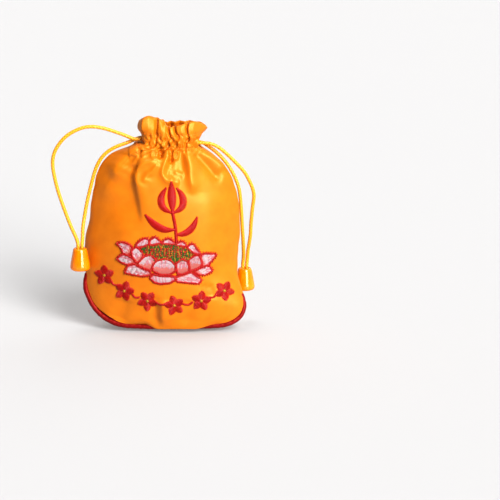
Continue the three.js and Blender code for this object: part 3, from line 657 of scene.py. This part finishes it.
def wound_yarn(name, deep, colour, slants, pitch_mm, relief_share, relief_depth, surface):
    """Glossy yarn with painted shade, a darker colour in the grooves between its turns: one slant gives the
    twist of an embroidery thread, two that cross give the plaits of a cord braided on a machine."""
    finish, tree = new_finish(name)
    flat = add_node(tree, "ShaderNodeUVMap", uv_map="flat")
    turns = []
    for degrees in slants:
        slanted = add_node(tree, "ShaderNodeMapping", {
            "Vector": flat.outputs["UV"], "Rotation": (0, 0, math.radians(degrees))})
        wave = add_node(tree, "ShaderNodeTexWave", {
            "Vector": slanted.outputs["Vector"], "Scale": 2 * math.pi / (pitch_mm * 20)}, wave_type="BANDS")
        turns.append(wave.outputs["Fac"])
    height = turns[0]
    for other in turns[1:]:
        crossed = add_node(tree, "ShaderNodeMath", {0: height, 1: other}, operation="MULTIPLY")
        height = crossed.outputs["Value"]
    # Painted shade: the deep colour darkens the grooves between the turns of a thread and the plaits of a
    # cord.
    colour_mix = add_node(tree, "ShaderNodeMix", {
        "Factor": height, "A": linear(deep), "B": linear(colour)}, data_type="RGBA")
    relief = add_node(tree, "ShaderNodeBump", {
        "Height": height, "Strength": relief_share, "Distance": relief_depth})
    yarn = add_node(tree, "ShaderNodeBsdfPrincipled", {
        "Base Color": colour_mix.outputs["Result"], "Normal": relief.outputs["Normal"], **surface})
    add_node(tree, "ShaderNodeOutputMaterial", {"Surface": yarn.outputs["BSDF"]})
    return finish


def moulded_plastic(name, colour, deep):
    """Moulded translucent plastic: glossy, with light that soaks a little way in."""
    finish, tree = new_finish(name)
    place = add_node(tree, "ShaderNodeTexCoord")
    flow = add_node(tree, "ShaderNodeTexNoise", {
        "Vector": place.outputs["Object"], "Scale": 180.0, "Detail": 2.0})
    tone = add_node(tree, "ShaderNodeMapRange", {
        "Value": flow.outputs["Fac"], "From Min": 0.35, "From Max": 0.65})
    colour_mix = add_node(tree, "ShaderNodeMix", {
        "Factor": tone.outputs["Result"], "A": linear(deep), "B": linear(colour)}, data_type="RGBA")
    skin = add_node(tree, "ShaderNodeBump", {
        "Height": flow.outputs["Fac"], "Strength": 0.04, "Distance": 0.0004})
    plastic = add_node(tree, "ShaderNodeBsdfPrincipled", {
        "Base Color": colour_mix.outputs["Result"], "Roughness": 0.16, "IOR": 1.5, "Subsurface Weight": 0.35,
        "Subsurface Radius": (1.0, 0.45, 0.08), "Subsurface Scale": 0.003, "Coat Weight": 0.3,
        "Coat Roughness": 0.08, "Normal": skin.outputs["Normal"]})
    add_node(tree, "ShaderNodeOutputMaterial", {"Surface": plastic.outputs["BSDF"]})
    return finish


def light_table(name):
    """Frosted white sheet lit from below, matt with a faint grain, so that shadows on it stay pale."""
    finish, tree = new_finish(name)
    place = add_node(tree, "ShaderNodeTexCoord")
    grain = add_node(tree, "ShaderNodeTexNoise", {"Vector": place.outputs["Object"], "Scale": 900.0})
    frost = add_node(tree, "ShaderNodeBump", {
        "Height": grain.outputs["Fac"], "Strength": 0.03, "Distance": 0.0001})
    sheet = add_node(tree, "ShaderNodeBsdfPrincipled", {
        "Base Color": linear("#9C9B9B"), "Roughness": 0.9, "Normal": frost.outputs["Normal"],
        "Emission Color": linear("#FFFFFF"), "Emission Strength": 0.22})
    add_node(tree, "ShaderNodeOutputMaterial", {"Surface": sheet.outputs["BSDF"]})
    return finish


orange_satin = woven_satin("orange polyester satin", "#BA690A", "#C3720F", "#FFE29A", 0.41)
red_satin = woven_satin("red polyester satin", "#6A080C", "#7E1014", "#E07868", 0.42)
amber_plastic = moulded_plastic("amber moulded plastic", "#E88400", "#E07A00")
PLAIT_MM = 1.45  # real plaits are nearer 1.1 mm, drawn coarser so that they show
# The darker of the cord's two colours is painted shade between its plaits.
gold_cord = wound_yarn("gold braided nylon", "#CC860A", "#FBBE30", (45, -45), PLAIT_MM, 0.5, 0.0003, {
    "Roughness": 0.4, "IOR": 1.53})
TWIST_MM = 0.5  # real twists are nearer 0.3 mm, drawn coarser so that they show
THREADS = {}
# The darker colour of each thread is painted shade between its turns.
for thread, name, deep, colour in (
        ("red", "red embroidery rayon", "#860505", "#B80D08"),
        ("white", "white embroidery rayon", "#9C8387", "#C8B6B9"),
        ("pale", "pale pink embroidery rayon", "#A4656F", "#C48890"),
        ("salmon", "salmon embroidery rayon", "#A65A52", "#C27870"),
        ("green", "green embroidery rayon", "#1E400C", "#3A6016"),
        ("gold", "gold embroidery rayon", "#8A640E", "#B4861C"),
        ("orange", "orange sewing thread", "#DE6E08", "#F28A14")):
    THREADS[thread] = wound_yarn(name, deep, colour, (35,), TWIST_MM, 0.3, 0.0001, {
        "Roughness": 0.42, "IOR": 1.52, "Specular IOR Level": 0.4})


# Camera, a little above the pouch and to its right, far off with a long lens

PIXEL_MM = 0.63  # at the pouch's distance
PICTURE_PIXELS = 500
LENS_MM = 300
SENSOR_MM = 36
AIM = np.array([53.6, 0, 49.6])
distance = PIXEL_MM * PICTURE_PIXELS * LENS_MM / SENSOR_MM
eye = AIM + distance * np.array([0, -math.cos(ELEVATION), math.sin(ELEVATION)])
camera_data = bpy.data.cameras.new("camera")
camera_data.lens = LENS_MM
camera_data.sensor_width = SENSOR_MM
camera = bpy.data.objects.new("camera", camera_data)
camera.location = Vector(eye * MM)
camera.rotation_euler = (math.pi / 2 - ELEVATION, 0, 0)
scene.collection.objects.link(camera)
scene.camera = camera


# Drawstrings

def casing_ring(side):
    """The stretch of a drawstring inside the casing, right round the neck."""
    row = CORD_ROW[side]
    sign = SIGN[side]
    rows = np.array([row - 0.02, row, row + 0.02])
    neck = {key: value[1, 0] for key, value in sections_at(rows).items()}
    across = np.linspace(0.7, -0.9, 9) * sign
    fine = np.linspace(-1, 1, 401)
    halves = []
    for panel in ("front", "back"):
        plain = plain_panel(panel, fine, rows)
        into = -outward(plain, panel)[1]
        into[:, 2] = 0
        spot = plain[1] + unit(into) * (CLOTH + CASING_ROOM / 2)
        halves.append(np.stack([np.interp(across, fine, spot[:, i]) for i in range(3)], axis=1))
    far = neck["lean"] - sign * (neck["half"] - CLOTH - CASING_ROOM / 2 + 0.4)
    exit_x = neck["lean"] + sign * (neck["half"] - 1)
    way_out = [np.array([exit_x, y, neck["seam_z"]]) for y in (-STRAND_GAP, STRAND_GAP)]
    return [way_out[0], *halves[0], np.array([far, 0, neck["seam_z"]]), *halves[1][::-1], way_out[1]]


def drawstring(side):
    sign = SIGN[side]
    top = BELL_TOPS[side]
    knot = top - [0, 0, KNOT_DROP]

    def ending(outer):
        return [top + [outer * STRAND_OFFSET, 0, z] for z in (2.5, 0, -BELL_ROOF)]

    def plaited(turn, along):
        lay = along * 2 * np.pi / PLAIT_LENGTH
        return 0.95 + 0.08 * np.maximum(np.sin(4 * turn + lay), np.sin(4 * turn - lay))

    front, back = np.array(STRANDS[side, "front"]), np.array(STRANDS[side, "back"])
    route = [knot + [sign, 0, 0], *ending(sign)[::-1], *front[::-1], *casing_ring(side),
             *back, *ending(-sign), knot - [sign, 0, 0]]
    path = through(route, BRAID_STEP)
    points, faces, uv = tube(path, BRAID_STEP, CORD_DIAMETER / 2, 16, plaited)
    made = new_object(side + "_braid", points, faces, gold_cord, uv)
    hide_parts(side + "_drawstring")
    return made, path


def cord_end(side):
    """A moulded bell with a hole in its flat top and a thick rounded lip."""
    outer = [(2.7, 0), (3.4, -0.05), (4.05, -0.5), (4.45, -1.5), (4.85, -3.4), (5.4, -6.4), (5.85, -9),
             (6.15, -11), (6.25, -12.1), (6.1, -13.1), (5.6, -13.8), (5.1, -14), (4.75, -13.7), (4.6, -13)]
    inner = [(4.5, -10.5), (4.2, -8), (3.8, -5), (3.45, -3), (3.05, -2.1), (2.75, -1.85), (2.62, -1),
             (2.7, 0)]
    profile = through(outer + inner, 0.4)[:-1]
    sides = 44
    turn = np.linspace(0, 2 * np.pi, sides, endpoint=False)
    points = spread(profile[:, :1] * np.cos(turn), profile[:, :1] * np.sin(turn), profile[:, 1:])
    c = np.arange(sides)
    last = (len(points) - 1) * sides
    closing = np.stack([last + c, last + (c + 1) % sides, (c + 1) % sides, c], axis=1)
    faces = np.vstack([grid_faces(len(points), sides, closed=True), closing])[:, ::-1]
    made = new_object(side + "_bell", points + BELL_TOPS[side], faces, amber_plastic)
    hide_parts(side + "_cord_end")
    return made


def cord_knot(side):
    """The overhand knot that holds the two strands inside the bell."""
    middle = BELL_TOPS[side] - [0, 0, KNOT_DROP]
    t = np.linspace(0, 2 * np.pi, 120)
    trefoil = [np.sin(t) + 2 * np.sin(2 * t), np.cos(t) - 2 * np.cos(2 * t), -1.2 * np.sin(3 * t)]
    points, faces, uv = tube(np.stack(trefoil, axis=1) * 0.7 + middle, 0.3, CORD_DIAMETER / 2, 12)
    made = new_object(side + "_knot", points, faces, gold_cord, uv)
    return made


for side in ("left", "right"):
    braid, path = drawstring(side)
    bell = cord_end(side)
    tie = cord_knot(side)


# Satin panels

def casing_lining(side, u):
    """The inner side of the casing, a smooth band that flares to the outer cloth at its head and foot."""
    foot, height, middle = 116.4, 9, 3.8
    t = np.linspace(0, 1, 12)[:, None]
    flare = np.abs(2 * t - 1) ** 3
    turn = u[None, :] * math.pi / 2
    wave = 0.35 * np.sin(19 * u + 1.3)[None, :]
    half = 13.6 + 3.2 * flare
    deep = 5.0 + 2.2 * flare + wave * (1 - flare)
    x = middle + half * np.sin(turn)
    y = AWAY[side] * deep * np.clip(np.cos(turn), 0, 1) ** 1.1
    return spread(x, y, foot + height * t)


def panel(side, columns, count):
    u = np.linspace(-1, 1, columns)
    rows = even_rows(side, count)
    face = draped_panel(side, u, rows)
    lining = casing_lining(side, u)
    middle = np.concatenate([face[:, columns // 2], lining[::-1, columns // 2]])
    along = run_along(middle)[:, None]
    uv = spread(u[None, :] * FLAT_HALF_WIDTH, along)
    faces = grid_faces(len(face), columns, flip=side == "back")
    inner = grid_faces(len(lining), columns, flip=side == "back") + len(face) * columns
    points = np.concatenate([face, lining])
    made = new_object(side + "_satin", points, np.vstack([faces, inner]), orange_satin, uv)
    thick = made.modifiers.new("cloth", "SOLIDIFY")
    thick.thickness = SATIN * MM
    thick.offset = -1
    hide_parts(side + "_panel")
    return face, faces


front_face, front_quads = panel("front", 241, 184)
panel("back", 201, 160)


# Piping in the bottom seam

def piping():
    """A covered cord with the flange that is sewn in between the panels."""
    def run(side):
        end = np.interp(PIPING_ENDS[side], SECTIONS[:, 0], np.arange(RIM + 1))
        s = sections_at(np.linspace(0, end, 40))
        seam = np.hstack([s["half"], s["seam_z"]])
        ahead = unit(np.gradient(seam, axis=0))
        out = PIPING_OFFSET - 3.2 * ease(seam[:, 1], PIPING_ENDS[side] - PIPING_TUCK[side], PIPING_ENDS[side])
        x = s["lean"][:, 0] + SIGN[side] * (seam[:, 0] + out * ahead[:, 1])
        return np.stack([x, s["seam_y"][:, 0], seam[:, 1] - out * ahead[:, 0]], axis=1)

    def creased(turn, along):
        creases = 1 + 0.035 * np.sin(along * 1.1 + 2 * turn + 2 * np.sin(along * 0.23))
        creases += 0.02 * np.sin(along * 2.3 - turn)
        from_end = np.clip(np.minimum(along, along[-1] - along) / PIPING_RADIUS, 0, 1)
        return creases * np.sqrt(np.clip(1 - (1 - from_end) ** 2, 0.02, 1))

    path = through(np.vstack([run("left")[::-3], run("right")[::3]]), PIPING_STEP)
    cord, faces, uv = tube(path, PIPING_STEP, PIPING_RADIUS, 20, creased)
    ahead = unit(np.gradient(path, axis=0))
    inward = unit(np.stack([-ahead[:, 2], 0 * ahead[:, 1], ahead[:, 0]], axis=1))
    depths = np.array([0.6, 1.4, 2.3, 3.2])
    strips = path[:, None] + inward[:, None] * depths[:, None]
    flange_uv = spread(depths - depths[0], uv[:, :1, 1])
    flange = grid_faces(len(path), len(depths)) + cord.shape[0] * cord.shape[1]
    points = np.vstack([cord.reshape(-1, 3), strips.reshape(-1, 3)])
    flat = np.vstack([uv.reshape(-1, 2), flange_uv.reshape(-1, 2)])
    made = new_object("piping_cover", points, np.vstack([faces, flange]), red_satin, flat)
    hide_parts("piping")


piping()


# Embroidery, laid on the front panel as seen square on from a little above

cloth_tree = BVHTree.FromPolygons(front_face.reshape(-1, 3).tolist(), front_quads.tolist())
LOOK = Vector((0, math.cos(ELEVATION), -math.sin(ELEVATION)))
stitches = {name: [] for name in THREADS}
needle = np.random.default_rng(5)


def on_cloth(across, up):
    start = Vector((across, up * math.sin(ELEVATION), up * math.cos(ELEVATION))) - 200 * LOOK
    place, normal, _, _ = cloth_tree.ray_cast(start, LOOK)
    return None if place is None else (np.array(place), np.array(normal))


def stitch(thread, start, stop, lift=0.35, radius=0.3):
    """One stitch: it comes up through the cloth, arches over it and goes down again."""
    found = [on_cloth(*(np.array(start) * (1 - t) + np.array(stop) * t)) for t in STITCH_STEPS]
    if any(f is None for f in found):
        return
    places = np.array([f[0] for f in found])
    normals = np.array([f[1] for f in found])
    normals *= np.sign(-normals[:, 1:2])
    stitches[thread].append((places + normals * (lift * STITCH_ARCH), normals, radius))


def satin_column(line, width, straggle=0.0, lift=0.5):
    """Red stitches side by side across a line, slanting a little as a machine lays them."""
    line = evenly(line, COLUMN_SPACING)
    ahead = unit(np.gradient(line, axis=0))
    aside = np.stack([-ahead[:, 1], ahead[:, 0]], axis=1)
    t = np.linspace(0, 1, len(line))
    half = np.interp(t, np.linspace(0, 1, np.size(width)), np.ravel(width)) / 2
    for i in range(len(line)):
        out = half[i] + straggle * (i % 2) * needle.uniform(0.6, 1)
        slant = ahead[i] * COLUMN_SPACING * 0.3
        start = line[i] - aside[i] * half[i] - slant
        stop = line[i] + aside[i] * out + slant
        stitch("red", start, stop, lift * needle.uniform(0.45, 1.2), COLUMN_RADIUS)


def leaf_column(width, line):
    """A pointed leaf of satin stitch about a curved middle line."""
    line = through(line, LINE_STEP)
    t = np.linspace(0, 1, len(line))
    taper = np.sin(np.pi * np.clip(t, 0.06, 0.96)) ** 0.7
    satin_column(line, np.maximum(width * taper, 0.7), lift=0.55)


def fill(outline, degrees, spacing, lay):
    """Lines across an outline in the given direction, each handed to lay as a start and a stop."""
    outline = np.array(outline)
    way = np.array([math.cos(math.radians(degrees)), math.sin(math.radians(degrees))])
    aside = np.array([-way[1], way[0]])
    u, v = outline @ aside, outline @ way
    for level in np.arange(u.min() + spacing / 2, u.max(), spacing):
        cuts = []
        for i in range(len(u)):
            j = (i + 1) % len(u)
            if (u[i] - level) * (u[j] - level) < 0:
                cuts.append(v[i] + (v[j] - v[i]) * (level - u[i]) / (u[j] - u[i]))
        cuts.sort()
        for low, high in zip(cuts[::2], cuts[1::2]):
            lay(aside * level + way * low, aside * level + way * high)


def petal(degrees, salmon, straggle, outline):
    """White and pale threads over salmon ones at the foot, with a red edge."""
    def long_and_short(foot, tip):
        length = np.linalg.norm(tip - foot)
        share = salmon + needle.uniform(-0.09, 0.09) if salmon else 0
        if share * length > 0.7:
            stitch("salmon", foot, foot + (tip - foot) * share)
        begin = foot + (tip - foot) * max(share - 0.12, 0)
        pieces = max(1, int(np.linalg.norm(tip - begin) / 2.6))
        for k in range(pieces):
            thread = needle.choice(["white", "white", "pale"] if k == pieces - 1 else ["white", "pale"])
            stitch(thread, begin + (tip - begin) * k / pieces, begin + (tip - begin) * (k + 1) / pieces)

    fill(outline, degrees, FILL_SPACING, long_and_short)
    closed = np.array(outline + outline[:1])
    twice_area = np.sum(closed[:-1, 0] * closed[1:, 1] - closed[1:, 0] * closed[:-1, 1])
    satin_column(closed if twice_area < 0 else closed[::-1], 1.25, straggle, lift=0.7)


def pod():
    """Short upright threads of mixed colours, with arcs of red dashes over them."""
    def woven(low, high):
        count = max(1, int(np.linalg.norm(high - low) / 1.2))
        for k in range(count):
            thread = needle.choice(["green", "green", "green", "gold", "red"])
            slip = needle.uniform(-0.25, 0.25, 2)
            a, b = max(k - 0.15, 0) / count, min(k + 1.15, count) / count
            stitch(thread, low + (high - low) * a + slip, low + (high - low) * b + slip, 0.3, POD_RADIUS)

    fill(POD, 82, POD_SPACING, woven)
    t = np.linspace(0.12, 0.88, 24)
    for row in np.linspace(0.2, 0.8, 4):
        arc = np.stack([-15 + 32 * t, 48.4 - 6.5 * row + 2.6 * np.sin(np.pi * t) - 2 * t], axis=1)
        for a, b in zip(arc[:-1:2], arc[1::2]):
            stitch("red", a, b, 0.7, POD_RADIUS)


pod()
for degrees, salmon, straggle, outline in PETALS:
    petal(degrees, salmon, straggle, outline)
stem_width, stem_line = STEM
satin_column(through(stem_line, LINE_STEP), stem_width, lift=0.6)
for width, line in BUD:
    leaf_column(width, line)


def blossom(place, turn):
    """Five round petals of satin stitch about a small knot of gold thread."""
    width = 4.6 * np.sin(np.pi * np.linspace(0.14, 0.9, 12)) ** 0.8
    for k in range(BLOSSOM_PETALS):
        angle = turn + k * 2 * math.pi / BLOSSOM_PETALS
        way = np.array([math.sin(angle), math.cos(angle)])
        satin_column([place + way * reach for reach in np.linspace(1.3, BLOSSOM_REACH, len(width))], width)
    for k in range(5):
        across = np.array([math.cos(k * 0.63), math.sin(k * 0.63)])
        stitch("gold", place - across, place + across, 0.7, 0.3)


for k, place in enumerate(BLOSSOM_PLACES):
    blossom(place, 0.35 * k)
for a, b in zip(BLOSSOM_PLACES[:-1], BLOSSOM_PLACES[1:]):
    way = unit(b - a)
    sag = np.array([way[1], -way[0]]) * 1.1
    satin_column(through([a + 5.6 * way, (a + b) / 2 + sag, b - 5.6 * way], LINE_STEP), 0.9, lift=0.4)


def topstitching(side):
    """Running stitches along both edges of the casing."""
    pitch, length = 2.6, 1.8
    u = np.linspace(-1, 1, 1601)
    for row in STITCH_ROWS:
        band = draped_panel(side, u, np.array([row - 0.04, row, row + 0.04]))
        line = np.hstack([band[1], outward(band, side)[1]])
        run = run_along(band[1])
        for start in np.arange(1, run[-1] - 3, pitch):
            at = start + length * STITCH_STEPS
            found = np.stack([np.interp(at, run, line[:, i]) for i in range(6)], axis=1)
            away = unit(found[:, 3:])
            stitches["orange"].append((found[:, :3] + away * 0.25 * STITCH_ARCH, away, 0.2))


for side in ("front", "back"):
    topstitching(side)


def sewn_threads():
    """Turns the stitches of each thread into one piece."""
    sides = 6
    for name, laid in stitches.items():
        places = np.array([s[0] for s in laid])
        normals = np.array([s[1] for s in laid])
        radius = np.array([s[2] for s in laid])[:, None, None, None]
        along = unit(np.gradient(places, axis=1))
        aside = unit(np.cross(along, normals))
        above = np.cross(aside, along)
        angle = np.linspace(0, 2 * np.pi, sides, endpoint=False)[None, None, :, None]
        ring = np.cos(angle) * aside[:, :, None] + np.sin(angle) * above[:, :, None]
        points = places[:, :, None] + radius * ring
        count, levels = places.shape[:2]
        quads = grid_faces(levels, sides, closed=True)
        faces = (np.arange(count)[:, None, None] * levels * sides + quads[None]).reshape(-1, 4)
        run = np.cumsum(np.linalg.norm(np.diff(places, axis=1, prepend=places[:, :1]), axis=2), axis=1)
        uv = spread(np.arange(sides)[None, None, :] * 0.3, run[:, :, None])
        new_object(name + "_stitches", points, faces, THREADS[name], uv)


sewn_threads()


# Floor and light

bpy.ops.mesh.primitive_plane_add(size=6, location=(0, 0, -0.0001))
floor = bpy.context.object
floor.name = "light_table"
floor.data.materials.append(light_table("frosted white sheet"))


LIT_HEIGHT = 0.06  # metres above the floor, where the lights point


def new_light(name, place, power, spread):
    light = bpy.data.lights.new(name, "SUN")
    light.energy = power
    light.angle = math.radians(spread)
    lamp = bpy.data.objects.new(name, light)
    lamp.location = place
    lamp.rotation_euler = (Vector((0, 0, LIT_HEIGHT)) - Vector(place)).to_track_quat("-Z", "Y").to_euler()
    scene.collection.objects.link(lamp)


SOFTBOX_TURN = math.radians(31)  # to the pouch's right
for name, degrees, power in (("low", 6, 2.4), ("middle", 26, 2.8), ("high", 46, 3.0)):
    rise = math.radians(degrees)
    level = math.cos(rise)
    place = (math.sin(SOFTBOX_TURN) * level, -math.cos(SOFTBOX_TURN) * level, math.sin(rise) + LIT_HEIGHT)
    new_light("tall_softbox_" + name, place, power, 28)
new_light("back_softbox", (0.6, 0.75, 0.5), 0.9, 60)
new_light("overhead_panel", (-0.1, 0.1, 1), 0.8, 20)


def studio():
    """White sweep behind the pouch and to its right, and a dim room in front of it."""
    world = bpy.data.worlds.new("studio")
    world.use_nodes = True
    tree = world.node_tree
    tree.nodes.clear()
    place = add_node(tree, "ShaderNodeTexCoord")
    towards = add_node(tree, "ShaderNodeVectorMath", {
        0: place.outputs["Generated"], 1: Vector((0.5, 0.75, 0.43)).normalized()}, operation="DOT_PRODUCT")
    glow = add_node(tree, "ShaderNodeMapRange", {
        "Value": towards.outputs["Value"], "From Min": -1.0, "From Max": 1.0, "To Min": 0.05, "To Max": 0.8},
        interpolation_type="SMOOTHSTEP")
    sweep = add_node(tree, "ShaderNodeBackground", {
        "Color": linear("#FFFFFF"), "Strength": glow.outputs["Result"]})
    add_node(tree, "ShaderNodeOutputWorld", {"Surface": sweep.outputs["Background"]})
    scene.world = world


studio()
scene.view_settings.view_transform = "Standard"
scene.view_settings.gamma = 0.8  # the strong contrast of a shop picture
